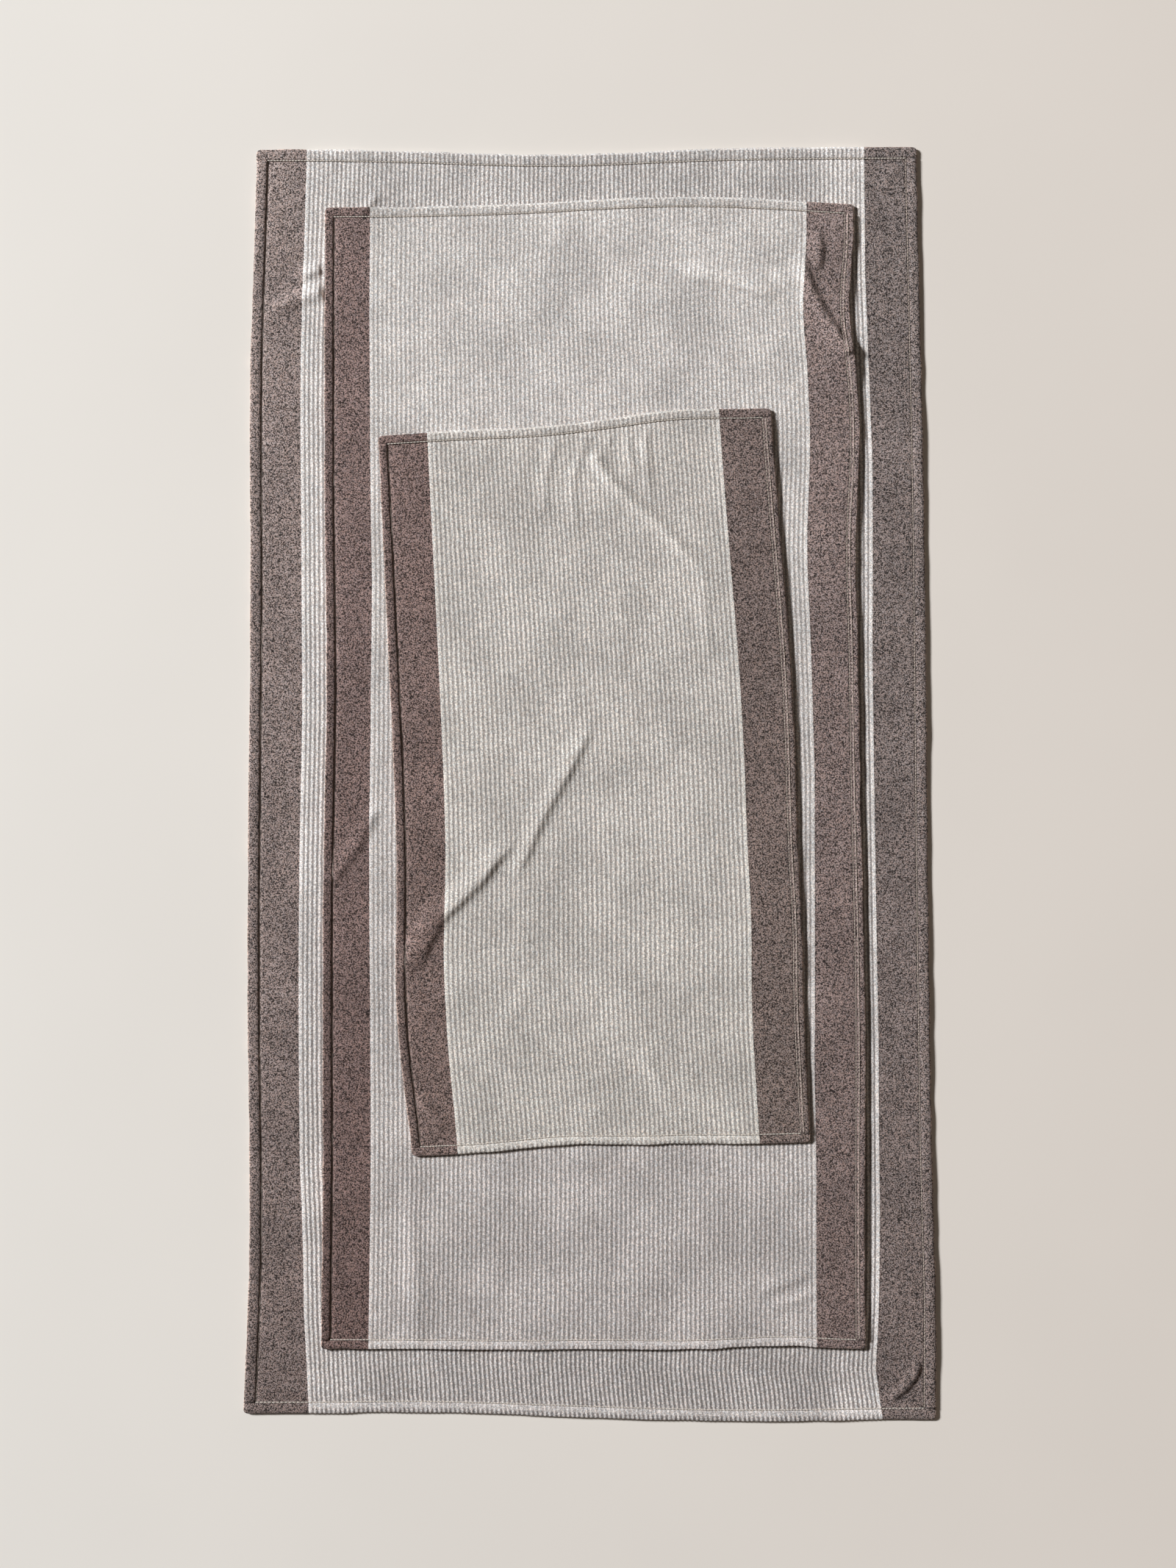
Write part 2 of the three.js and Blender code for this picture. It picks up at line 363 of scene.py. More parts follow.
def smooth_route(points):
    """A Catmull-Rom curve through the points."""
    points = np.array(points, float)
    padded = np.vstack([2 * points[0] - points[1], points, 2 * points[-1] - points[-2]])
    t = np.linspace(0, 1, CREASE_SMOOTHING, endpoint=False)[:, None]
    parts = []
    for a, b, c, d in zip(padded, padded[1:], padded[2:], padded[3:]):
        parts.append(
            (2 * b + (c - a) * t + (2 * a - 5 * b + 4 * c - d) * t**2
             + (3 * b - a - 3 * c + d) * t**3) / 2
        )
    return np.vstack([*parts, points[-1:]])


def crease_rise(crease, x, y):
    """How far a crease lifts the cloth at each point."""
    route = smooth_route(crease["route"])
    reach = CREASE_REACH * max(crease["left"], crease["right"])
    rise = np.zeros_like(x)
    low, high = route.min(0) - reach, route.max(0) + reach
    near = np.flatnonzero((x > low[0]) & (x < high[0]) & (y > low[1]) & (y < high[1]))
    if not len(near):
        return rise
    points = np.stack([x[near], y[near]], 1)
    best = np.full(len(points), np.inf)
    along, across = np.zeros(len(points)), np.zeros(len(points))
    walked = 0.0
    for start, end in zip(route, route[1:]):
        step = end - start
        length = np.linalg.norm(step)
        step = step / length
        offset = points - start
        run = offset @ step
        held = np.clip(run, 0, length)
        away = np.linalg.norm(offset - held[:, None] * step, axis=1)
        side = step[0] * offset[:, 1] - step[1] * offset[:, 0]
        closer = away < best
        best = np.where(closer, away, best)
        along = np.where(closer, walked + held, along)
        across = np.where(closer, np.where(side > 0, away, -away), across)
        walked += length
    width = np.where(across > 0, crease["left"], crease["right"])
    ends = fade_in(along, crease["fade"][0]) * fade_in(walked - along, crease["fade"][1])
    uneven = 1 + CREASE_UNEVENNESS * noise(
        x[near] + FINE_SHIFT, y[near] + FINE_SHIFT, CREASE_UNEVEN_SIZE, SEEDS["creases"])
    rise[near] = crease["rise"] * uneven * ends * np.exp(-((best / width) ** 2))
    return rise


def creases_rise(towel, x, y):
    """The lift from a towel's own creases and from those of what lies under it."""
    return sum(
        crease_rise(crease, x, y)
        for name, creases in CREASES.items() if TOWELS[name]["level"] <= towel["level"]
        for crease in creases
    )


def crease_highlight(towel, x, y):
    """How strongly the towel's own creases are painted lighter as a highlight, from none up to
    the most it can have.
    """
    highlight = sum(
        crease_rise(crease, x, y) * crease.get("pale", 1) for crease in CREASES[towel["name"]]
    )
    return np.clip(highlight / FULL_FOLD, 0, MOST_HIGHLIGHT)


def relief(towel, x, y):
    """How far a towel is lifted off its base, by creases and by soft swellings."""
    uneven = noise(x + SWELL_SHIFT, y + SWELL_SHIFT, SWELL_SIZE, SEEDS["swell"])
    swell = SWELL_RISE * (0.5 + 0.5 * uneven)
    return swell + creases_rise(towel, x, y)


# ---- meshes ----------------------------------------------------------------------------------

# Columns of the cloth: places near a seam, counted from the cloth's edge, then the usual
# spacing in a band. A rib has a column on its crest and this many more up to the next one.
NEAR_SEAM = (0, 0.8, 1.8, 3.2, 5.2, 7.8)
BAND_COLUMN = 3.2
BETWEEN_CRESTS = 2
# Rows of the cloth: the first beside a seam, how fast they widen from there, and along creases,
# where a row is also no closer than a share of the narrower slope needs.
SEAM_ROW = 0.8
ROW_GROWTH = 0.4
CREASE_ROW = 3.4
CREASE_ROW_SHARE = 0.5
CREASE_MARGIN = 15
ROW_STEP = 0.5  # in which the rows are counted out
ROWS_BELOW = 4  # rows of the upper face for each row of the underside


def make_piece(name, towel, points, faces, flat, material):
    """A mesh from points in millimetres, with the flat coordinates as its UVs, and the painted
    highlight of the creases at each point as its "fold"."""
    mesh = bpy.data.meshes.new(name)
    mesh.from_pydata((points * MM).tolist(), [], faces)
    layer = mesh.uv_layers.new(name="Flat")
    corner_vertex = np.zeros(len(mesh.loops), np.int32)
    mesh.loops.foreach_get("vertex_index", corner_vertex)
    layer.data.foreach_set("uv", flat[corner_vertex].astype(np.float32).ravel())
    fold = crease_highlight(towel, points[:, 0], points[:, 1])
    mesh.attributes.new("fold", "FLOAT", "POINT").data.foreach_set("value", fold)
    mesh.polygons.foreach_set("use_smooth", np.ones(len(mesh.polygons), bool))
    mesh.materials.append(material)
    mesh.update()
    piece = bpy.data.objects.new(name, mesh)
    bpy.context.scene.collection.objects.link(piece)
    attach(piece, towel["name"])
    return piece


def grid_faces(rows, columns, first=0, up=True):
    """Quads between rows and columns of points, which start at index first."""
    i, j = np.meshgrid(np.arange(rows - 1), np.arange(columns - 1), indexing="ij")
    a = (first + i * columns + j).ravel()
    quads = np.stack([a, a + 1, a + columns + 1, a + columns], 1)
    return (quads if up else quads[:, ::-1]).tolist()


def across_stops(towel, start):
    """Columns of a piece that begins at start from either side: three to a rib, and closer in
    the bands towards the seams."""
    width, pitch = towel["width"], towel["pitch"]
    near_seam = np.array(NEAR_SEAM)

    def band_stops(inner):
        rest = inner - start - near_seam[-1]
        count = int(rest / BAND_COLUMN)
        return np.concatenate([
            start + near_seam,
            start + near_seam[-1] + np.arange(1, count) * rest / count,
        ])

    crests = FIRST_RIB + np.arange(towel["ribs"])
    between = [
        crests[:-1] + (n + 1) / (BETWEEN_CRESTS + 1) for n in range(BETWEEN_CRESTS)
    ]
    ribs = np.sort(np.concatenate([crests, *between]))
    field = np.concatenate([[0], ribs, [towel["field"]]])
    return np.concatenate([
        band_stops(towel["band"]["left"]),
        towel["band"]["left"] + field * pitch,
        width - band_stops(towel["band"]["right"])[::-1],
    ])


def along_stops(towel, start):
    """Rows of the cloth: closer at the seams and where creases run."""
    length = towel["length"]
    v = np.arange(start, length - start, ROW_STEP)
    from_end = np.minimum(v - start, length - start - v)
    spacing = np.minimum(towel["row"], SEAM_ROW + ROW_GROWTH * from_end)
    bottom = (towel["bottom", "left"][1] + towel["bottom", "right"][1]) / 2
    for crease in CREASES[towel["name"]]:
        ys = [y for _, y in crease["route"]]
        low, high = min(ys) - bottom - CREASE_MARGIN, max(ys) - bottom + CREASE_MARGIN
        inside = (v > low) & (v < high)
        needed = max(CREASE_ROW, CREASE_ROW_SHARE * min(crease["left"], crease["right"]))
        spacing = np.where(inside, np.minimum(spacing, needed), spacing)
    count = np.concatenate([[0], np.cumsum(ROW_STEP / spacing)[:-1]])
    total = int(count[-1] / ROWS_BELOW + 1) * ROWS_BELOW
    v[-1] = length - start
    return np.interp(np.linspace(0, count[-1], total + 1), count, v)


RIB_UNEVENNESS = 0.12
RIB_UNEVEN_SIZE = 9
BAND_HEIGHT = 0.55  # of the bands' pile, where 0 and 1 are the foot and the crest of a rib
EDGE_TOLERANCE = 0.01
# Height, size and seed of the uneven standing of single loops and of clumps of them.
PILE_UNEVENNESS = ((0.08, 4.5, SEEDS["loops"]), (0.3, 23, SEEDS["clumps"]))


def rib_height(towel, u, v):
    """0 to 1 across the ribs, a little uneven along them, and a middle height in the bands."""
    ribs = ribs_at(towel, u)
    height = 0.5 + 0.5 * np.cos(2 * np.pi * (ribs - FIRST_RIB))
    uneven = noise(ribs, v, RIB_UNEVEN_SIZE, SEEDS["ribs"] + towel["level"])
    height = height * (1 + RIB_UNEVENNESS * uneven)
    inside = (ribs > -EDGE_TOLERANCE) & (ribs < towel["field"] + EDGE_TOLERANCE)
    return np.where(inside, height, BAND_HEIGHT)


def pile_unevenness(x, y):
    """How far the pile stands above or below its usual height."""
    return sum(
        height * noise(x + FINE_SHIFT, y + FINE_SHIFT, size, seed)
        for height, size, seed in PILE_UNEVENNESS
    )


def cloth_start(towel):
    """How far in from the towel's sides its cloth begins, beyond the seam's groove."""
    return towel["hem"] + 2 * SEAM_GAP + THREAD_WIDTH


# How far the seams pull the cloth's face down, and how far in.
PINCHES = {"left": 1.3, "bottom": 0.4, "right": 0.3, "top": 0.4}
PINCH_REACH = 2.2
# The ribs' wandering from side to side: how far, and over what length it changes. The more
# WANDER_SPREAD is, the less a rib wanders like its neighbour; the ribs nearest the bands are
# held straight.
WANDER = 0.45
WANDER_LENGTH = 14
WANDER_SPREAD = 3
STRAIGHT_RIBS = 2


def seam_pinch(towel, u, v, starts):
    """How far the nearest seam pulls the cloth's face down."""
    from_seam = {"left": u, "bottom": v, "right": towel["width"] - u, "top": towel["length"] - v}
    pulls = [
        PINCHES[side] * np.exp(-(((away - starts[side]) / PINCH_REACH) ** 2))
        for side, away in from_seam.items()
    ]
    return np.max(pulls, axis=0)


def cloth_faces(rows, columns, rows_below):
    """The upper face, the coarser underside and the four narrow faces that join them. The
    points of the upper face come first, row by row, and then those of the underside."""
    first_below = rows * columns

    def top_at(i, j):
        return i * columns + j

    def under_at(i, j):
        return first_below + i * columns + j

    faces = grid_faces(rows, columns) + grid_faces(rows_below, columns, first_below, up=False)
    last_row, last_below, last = rows - 1, rows_below - 1, columns - 1
    for j in range(last):
        faces.append([under_at(0, j), under_at(0, j + 1), top_at(0, j + 1), top_at(0, j)])
        faces.append([under_at(last_below, j + 1), under_at(last_below, j),
                      top_at(last_row, j), top_at(last_row, j + 1)])
    for k in range(last_below):
        run = range(k * ROWS_BELOW, (k + 1) * ROWS_BELOW + 1)
        faces.append([under_at(k + 1, 0), under_at(k, 0), *(top_at(i, 0) for i in run)])
        faces.append([under_at(k, last), under_at(k + 1, last),
                      *(top_at(i, last) for i in reversed(run))])
    return faces


def build_cloth(towel, material):
    """The towel's striped cloth between its hems."""
    # At the ends the cloth runs on under the seam's thread, right up to the hem.
    starts = {"left": cloth_start(towel), "bottom": towel["hem"] + SEAM_GAP}
    starts["right"], starts["top"] = starts["left"], starts["bottom"]
    across = across_stops(towel, starts["left"])
    along = along_stops(towel, starts["bottom"])
    rows, columns = len(along), len(across)
    v, u = (a.ravel() for a in np.meshgrid(along, across, indexing="ij"))
    place = lay(towel, u, v)
    ribs = ribs_at(towel, u)
    inside = fade_in(ribs, STRAIGHT_RIBS) * fade_in(towel["field"] - ribs, STRAIGHT_RIBS)
    place[:, 0] += WANDER * inside * noise(
        ribs * WANDER_SPREAD, v, WANDER_LENGTH, SEEDS["wander"] + towel["level"])
    lift = relief(towel, *place.T)
    face = (
        towel["base"] + towel["pile"] - RIB_RISE + RIB_RISE * rib_height(towel, u, v)
        + pile_unevenness(*place.T) - seam_pinch(towel, u, v, starts) + lift
    )
    below = np.arange(rows)[::ROWS_BELOW]
    kept = (below[:, None] * columns + np.arange(columns)).ravel()
    under = towel["base"] + lift[kept] + UNDERSIDE_RIB_RISE * rib_height(towel, u[kept], v[kept])
    points = np.vstack([
        np.column_stack([place, face]),
        np.column_stack([place[kept], under]),
    ])
    flat = np.column_stack([ribs, v * MM])
    flat = np.vstack([flat, flat[kept]])
    faces = cloth_faces(rows, columns, len(below))
    piece = make_piece(f"{towel['name']}_terry", towel, points, faces, flat, material)
    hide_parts(f"{towel['name']}_cloth")
    return piece


HEM_POINTS = 22
HEM_STATION = 3.5  # spacing of a side hem's sections
# The section is a rounded box: the lower a power, the squarer its corners.
FOLD_POWERS = {"outer": 0.5, "inner": 0.4}
CROWN_POWERS = {"upper": 0.45, "under": 0.4}
SIDE_HALF, END_HALF = 0.47, 0.42  # half a section's height, as a share of the CAD hem's
SIDE_INNER_DROP, SIDE_DROP_POWER = 0.3, 1.5
END_INNER_DROP = 0.26
OUTER_DROP_POWER = 5


def hem_section(towel, is_end):
    """(inset, height) round a rolled hem, from its fold over its crown to the seam. The end hems
    are pressed flatter, and meet the cloth almost flush."""
    angle = np.arange(HEM_POINTS) * 2 * np.pi / HEM_POINTS
    c, s = np.cos(angle), np.sin(angle)
    fold_power = np.where(c > 0, FOLD_POWERS["outer"], FOLD_POWERS["inner"])
    inset = towel["hem"] / 2 * (1 - np.sign(c) * np.abs(c) ** fold_power)
    half = towel["hem_rise"] * (END_HALF if is_end else SIDE_HALF)
    crown_power = np.where(s > 0, CROWN_POWERS["upper"], CROWN_POWERS["under"])
    height = half + half * np.sign(s) * np.abs(s) ** crown_power
    share = inset / towel["hem"]
    inner_drop = END_INNER_DROP * share if is_end else SIDE_INNER_DROP * share**SIDE_DROP_POWER
    slope = 1 - inner_drop - towel["outer_drop"] * (1 - share) ** OUTER_DROP_POWER
    return inset, height * np.where(s > 0, slope, 1)


SIDES = ("left", "bottom", "right", "top")


def on_side(towel, side, run, inset):
    """Flat coordinates of points on a side: run along it anticlockwise, inset inwards."""
    width, length = towel["width"], towel["length"]
    return {
        "left": (inset, length - run),
        "bottom": (run, inset),
        "right": (width - inset, run),
        "top": (width - run, length - inset),
    }[side]


# The hems' knobbly pile and soft, uneven roll: how high, and over what length they change.
KNOB, KNOB_SIZE, KNOB_TWIST = 0.28, 3.5, 1.6
KNOB_INWARDS = 0.8  # how far a knob moves the hem sideways, for each unit that it rises
ROLL, ROLL_LENGTH = 0.5, 38
SWAY, SWAY_LENGTH = 0.8, 27
# What is added to the seed of a hem's knobs for its roll and for its sway.
ROLL_SEED, SWAY_SEED = 20, 40
# The end hems' rounded corners: how long and how deep, and how thin their tips are.
CORNER_LENGTH = 6.0
CORNER_DEPTH = 5.0
CORNER_TIP = 0.25
# How far the ribs stand out on the end hems, upwards and outwards.
END_RIB_RISE = 0.9
END_RIB_OUT = 0.6


def tube_faces(stations, around):
    """Quads round a closed tube of points, section by section, and its two caps."""
    faces = []
    for i in range(stations - 1):
        for k in range(around):
            n = (k + 1) % around
            faces.append([i * around + k, i * around + n, (i + 1) * around + n,
                          (i + 1) * around + k])
    faces.append([k for k in reversed(range(around))])
    faces.append([(stations - 1) * around + k for k in range(around)])
    return faces


def shape_end(towel, side, run, inset, height, crown):
    """An end hem's rounded corners, and the ribs that run on over its fold."""
    from_end = np.minimum(run, towel["width"] - run)
    full = np.sqrt(1 - (1 - np.clip(from_end / CORNER_LENGTH, 0, 1)) ** 2)
    inset = inset + (1 - full) * CORNER_DEPTH * (1 - inset / towel["hem"])
    middle = towel["hem_rise"] / 2
    height = middle + (height - middle) * (CORNER_TIP + (1 - CORNER_TIP) * full)
    ribbed = rib_height(towel, *on_side(towel, side, run, inset)) - BAND_HEIGHT
    height = height + END_RIB_RISE * ribbed * crown
    inset = inset - END_RIB_OUT * ribbed * (1 - inset / towel["hem"])
    return inset, height


def build_hem(towel, side, material):
    """One rolled hem: a section carried along a side."""
    is_end = side in ("top", "bottom")
    if is_end:
        across = across_stops(towel, 0)
        run = across if side == "bottom" else (towel["width"] - across)[::-1]
    else:
        margin = towel["hem"] + SEAM_GAP
        whole = towel["length"]
        run = np.linspace(margin, whole - margin, int(whole / HEM_STATION))
    inset, height = hem_section(towel, is_end)
    stations, around = len(run), len(inset)
    run = np.repeat(run, around)
    inset, height = np.tile(inset, stations), np.tile(height, stations)
    angle = np.tile(np.arange(around), stations)
    seed = SEEDS["hems"] + len(SIDES) * towel["level"] + SIDES.index(side)
    knob = KNOB * noise(run, angle * KNOB_TWIST, KNOB_SIZE, seed)
    roll = ROLL * noise(run, run * 0, ROLL_LENGTH, seed + ROLL_SEED)
    sway = SWAY * noise(run, run * 0, SWAY_LENGTH, seed + SWAY_SEED)
    crown = np.clip(height / towel["hem_rise"], 0, 1)
    height = height + (knob + roll) * crown
    inset = inset + knob * KNOB_INWARDS - sway * (1 - inset / towel["hem"])
    if is_end:
        inset, height = shape_end(towel, side, run, inset, height, crown)
    u, v = on_side(towel, side, run, inset)
    place = lay(towel, u, v)
    z = towel["base"] + np.maximum(height, 0) + relief(towel, *place.T)
    points = np.column_stack([place, z])
    flat = np.column_stack([ribs_at(towel, u), v * MM])
    piece = make_piece(f"{towel['name']}_rolled_hem_{side}", towel, points,
                       tube_faces(stations, around), flat, material)
    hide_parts(f"{towel['name']}_hem_{side}")
    return piece


STITCH_PITCH = 4.0
STITCH_LENGTH = 3.7
STITCH_RADII = {"left": 0.45, "bottom": 0.62, "right": 0.6, "top": 0.62}
STITCH_HEIGHTS = {"left": 2.9, "bottom": 4.7, "right": 4.7, "top": 5.1}
# (place along a stitch, share of its radius)
STITCH_RINGS = ((-0.5, 0.35), (-0.36, 0.9), (0, 1.1), (0.36, 0.9), (0.5, 0.35))
STITCH_SIDES = 6
# The second row along the upper towels' right hems: how far outwards of the seam, and how high.
SECOND_ROW = 3.8
SECOND_ROW_HEIGHT = 6.2


def stitch_row(towel, side, inset_at, height_at):
    """Points and faces of one row of stitches: small spindles, end to end along a side."""
    is_end = side in ("top", "bottom")
    whole = towel["width"] if is_end else towel["length"]
    margin = towel["hem"] + SEAM_GAP if is_end else cloth_start(towel)
    count = int((whole - 2 * margin) / STITCH_PITCH)
    middles = margin + (whole - 2 * margin) * (np.arange(count) + 0.5) / count
    rings = np.array(STITCH_RINGS)
    angle = np.arange(STITCH_SIDES) * 2 * np.pi / STITCH_SIDES
    every = (count, len(rings), STITCH_SIDES)
    run = middles[:, None] + rings[:, 0] * STITCH_LENGTH
    run = np.broadcast_to(run[:, :, None], every).ravel()
    radius = STITCH_RADII[side] * rings[:, 1][:, None]
    inset = np.broadcast_to(inset_at + radius * np.cos(angle), every).ravel()
    height = np.broadcast_to(height_at + radius * np.sin(angle), every).ravel()
    u, v = on_side(towel, side, run, inset)
    place = lay(towel, u, v)
    z = towel["base"] + height + relief(towel, *place.T)
    spindle = tube_faces(len(rings), STITCH_SIDES)
    step = len(rings) * STITCH_SIDES
    faces = [[n * step + corner for corner in face] for n in range(count) for face in spindle]
    flat = np.column_stack([ribs_at(towel, u), v * MM])
    return np.column_stack([place, z]), faces, flat


def build_stitches(towel, side, material):
    """The stitches that hold one hem down."""
    seam = towel["hem"] + SEAM_GAP + THREAD_WIDTH / 2
    points, faces, flat = stitch_row(towel, side, seam, STITCH_HEIGHTS[side])
    if side == "right" and towel["level"] > 0:
        more = stitch_row(towel, side, seam - SECOND_ROW, SECOND_ROW_HEIGHT)
        faces = faces + [[len(points) + corner for corner in face] for face in more[1]]
        points, flat = np.vstack([points, more[0]]), np.vstack([flat, more[2]])
    piece = make_piece(f"{towel['name']}_lockstitch_{side}", towel, points, faces, flat,
                       material)
    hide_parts(f"{towel['name']}_stitch_{side}")
    return piece


# ---- materials -------------------------------------------------------------------------------


class Shader:
    """A material's node tree, with a short way to add and join nodes."""

    def __init__(self, name):
        self.material = bpy.data.materials.new(name)
        self.material.use_nodes = True
        self.nodes = self.material.node_tree.nodes
        self.links = self.material.node_tree.links
        self.surface = self.nodes["Principled BSDF"]

    def add(self, kind, settings=None, **inputs):
        node = self.nodes.new(kind)
        for key, value in (settings or {}).items():
            setattr(node, key, value)
        for key, value in inputs.items():
            self.give(node, key, value)
        return node

    def give(self, node, key, value):
        """Sets or joins an input by its name, with _ for a space, or by _ and its number."""
        socket = node.inputs[int(key[1:]) if key[0] == "_" else key.replace("_", " ")]
        if isinstance(value, bpy.types.NodeSocket):
            self.links.new(value, socket)
        else:
            socket.default_value = value

    def math(self, operation, a, b=0.0, c=0.0):
        node = self.add("ShaderNodeMath", {"operation": operation}, _0=a, _1=b, _2=c)
        return node.outputs[0]

    def ramp(self, value, low, high, to_low=0.0, to_high=1.0, smooth=True):
        node = self.add(
            "ShaderNodeMapRange",
            {"interpolation_type": "SMOOTHSTEP" if smooth else "LINEAR"},
            Value=value, From_Min=low, From_Max=high, To_Min=to_low, To_Max=to_high,
        )
        return node.outputs["Result"]

    def noise(self, coordinates, scale, detail=2.0, roughness=0.5):
        node = self.add("ShaderNodeTexNoise", None, Vector=coordinates, Scale=scale,
                        Detail=detail, Roughness=roughness)
        return node.outputs["Fac"]

    def mix(self, share, a, b):
        node = self.add("ShaderNodeMix", {"data_type": "RGBA"}, _0=share, _6=a, _7=b)
        return node.outputs[2]

    def scaled(self, colour, factor):
        node = self.add("ShaderNodeVectorMath", {"operation": "SCALE"}, _0=colour, _3=factor)
        return node.outputs[0]


LOOPS_PER_METRE = 1000.0
TUFTS_PER_METRE = 450.0
PATCHES_PER_METRE = 13.0
# How much the pile's tone, and the shade painted between its loops, vary from loop to loop, in
# the bands and in the striped field.
BAND_GRAIN_AND_SHADE = 0.92
FIELD_GRAIN_AND_SHADE = 0.3
DARKEST_LOOP = 0.1
# What the distance from a loop's middle turns into as shade painted between the loops, and what a
# loop's own chance turns into.
LOOP_GAP_PAINTED_SHADE = (0.25, 0.75, 0.35, -0.35)
STAND_SHADE = (0.3, 0.7, -1.0, 1.0)
# How dark and how light the pile lies in patches, and in tufts.
NAP = (0.88, 1.1)
TUFT = (0.96, 1.04)
RAGGED = 0.2  # of a stripe's edge, in ribs
BAND_EDGE = 0.06  # half the width of the bands' edges, in ribs
LAST_RIB = (0.9, 0.6)  # from here on to the band all is cream, in ribs
PALER_RIBS = (12.0, 8.0)  # how far from the bands the ribs start and finish being painted paler
RIM_HIGHLIGHT_WIDTH = 1.8  # of the painted highlight on the folds at the towel's sides and top, in mm
RIM_HIGHLIGHT_COLOUR = (0.5, 0.375, 0.315, 1)
SIDE_RIM_HIGHLIGHT, END_RIM_HIGHLIGHT = 0.75, 0.6  # how far the rims take that painted highlight colour
TOP_FOLD_HIGHLIGHT = (0.0032, 0.0018)  # where cream is painted on the top fold as a highlight, from the fold, in metres
BOTTOM_HEM_HIGHLIGHT = 0.6  # how strongly cream is painted over the stone on the bottom hems, as a highlight
# Where that painted highlight lies, from the bottom fold inwards, in hem widths.
HEM_HIGHLIGHT_STARTS = (0.35, 0.6)
HEM_HIGHLIGHT_ENDS = (1.2, 1.0)
TWISTS_PER_METRE = 900.0
WARM_LOOP = (1.07, 0.99, 0.93, 1)
COOL_LOOP = (0.93, 1.01, 1.07, 1)


def end_to_end(shader, along, length, look, part):
    """A shade that runs from one colour at the towel's bottom to another at its top."""
    share = shader.ramp(along, 0.0, length, smooth=False)
    return shader.mix(share, (*look[f"{part}_bottom"], 1), (*look[f"{part}_top"], 1))


def field_colour(shader, towel, look, ribs, along, to_band, ragged):
    """Cream ribs on stone, all cream beside the bands, and cream painted on the top fold as a
    highlight.
    """
    length, hem = towel["length"] * MM, towel["hem"] * MM
    from_first = shader.math("SUBTRACT", shader.math("ADD", ribs, ragged), FIRST_RIB)
    turn = shader.math("MULTIPLY", from_first, 2 * math.pi)
    crest = shader.ramp(shader.math("COSINE", turn), -0.5, 0.5)
    edge_rib = shader.ramp(to_band, *LAST_RIB)
    # Cream is painted along the top fold, as its highlight.
    top_highlight = shader.ramp(shader.math("SUBTRACT", length, along), *TOP_FOLD_HIGHLIGHT)
    share = shader.math("MAXIMUM", shader.math("MAXIMUM", crest, edge_rib), top_highlight)
    # Cream is painted over the stone on the bottom hem, as its highlight.
    spread = shader.math(
        "MULTIPLY",
        shader.ramp(along, *(at * hem for at in HEM_HIGHLIGHT_STARTS)),
        shader.ramp(along, *(at * hem for at in HEM_HIGHLIGHT_ENDS)),
    )
    share = shader.math("MAXIMUM", share, shader.math("MULTIPLY", spread, BOTTOM_HEM_HIGHLIGHT))
    stone = end_to_end(shader, along, length, look, "stone")
    cream = end_to_end(shader, along, length, look, "cream")
    return shader.mix(share, stone, cream)


def band_colour(shader, towel, look, ribs, along):
    """Taupe, of its own shade in the left and the right band, with a paler, peach highlight
    painted on the folds at its sides and top.
    """
    length, field, pitch = towel["length"] * MM, towel["field"], towel["pitch"]
    sides = [end_to_end(shader, along, length, look, side) for side in ("left", "right")]
    on_right = shader.ramp(ribs, field * 0.45, field * 0.55)
    taupe = shader.mix(on_right, *sides)
    outer_left = shader.math("ADD", ribs, towel["band"]["left"] / pitch)
    outer_right = shader.math("SUBTRACT", field + towel["band"]["right"] / pitch, ribs)
    to_side = shader.math("MINIMUM", outer_left, outer_right)
    to_top = shader.math("SUBTRACT", length, along)
    # The folds at the towel's sides and top are painted paler, as their highlight.
    side_highlight = shader.ramp(to_side, RIM_HIGHLIGHT_WIDTH / pitch, 0.0, 0.0, SIDE_RIM_HIGHLIGHT)
    end_highlight = shader.ramp(to_top, RIM_HIGHLIGHT_WIDTH * MM, 0.0, 0.0, END_RIM_HIGHLIGHT)
    return shader.mix(shader.math("MAXIMUM", side_highlight, end_highlight), taupe, RIM_HIGHLIGHT_COLOUR)


def pile_shade(shader, look, here, loops, loop_shade, tufts, to_band, in_field):
    """How light the pile is: by its loops, with shade painted between them, by its nap, by the
    highlight painted on its folds, and by the ribs painted paler near the bands.
    """
    # Shade is painted between the loops: a loop is lightest at its crown and dark where it meets
    # its neighbours. And no two loops stand alike.
    crown = shader.ramp(loops.outputs["Distance"], *LOOP_GAP_PAINTED_SHADE, smooth=False)
    stand = shader.ramp(loop_shade.outputs[0], *STAND_SHADE, smooth=False)
    uneven = shader.math("ADD", crown, stand)
    strength = shader.ramp(to_band, -BAND_EDGE, BAND_EDGE, BAND_GRAIN_AND_SHADE, FIELD_GRAIN_AND_SHADE)
    grain_and_shade = shader.math("MULTIPLY_ADD", uneven, strength, 1.0)
    grain_and_shade = shader.math("MAXIMUM", grain_and_shade, DARKEST_LOOP)
    patches = shader.noise(here, PATCHES_PER_METRE, 4.0, 0.6)
    nap = shader.ramp(patches, 0.32, 0.68, *NAP)
    # The creases' crests are painted lighter, as a highlight.
    fold = shader.add("ShaderNodeAttribute", {"attribute_name": "fold"}).outputs["Fac"]
    highlight = shader.math("MULTIPLY_ADD", fold, FOLD_HIGHLIGHT, 1.0)
    shade = shader.math("MULTIPLY", shader.math("MULTIPLY", grain_and_shade, nap), highlight)
    shade = shader.math("MULTIPLY", shade, shader.ramp(tufts, 0.3, 0.7, *TUFT, smooth=False))
    # The ribs nearest the bands are painted paler.
    edge_ribs = shader.ramp(to_band, *PALER_RIBS, 0.0, look["paler_edge_ribs"])
    edge_ribs = shader.math("MULTIPLY", in_field, edge_ribs)
    return shader.math("MULTIPLY_ADD", shade, edge_ribs, shade)


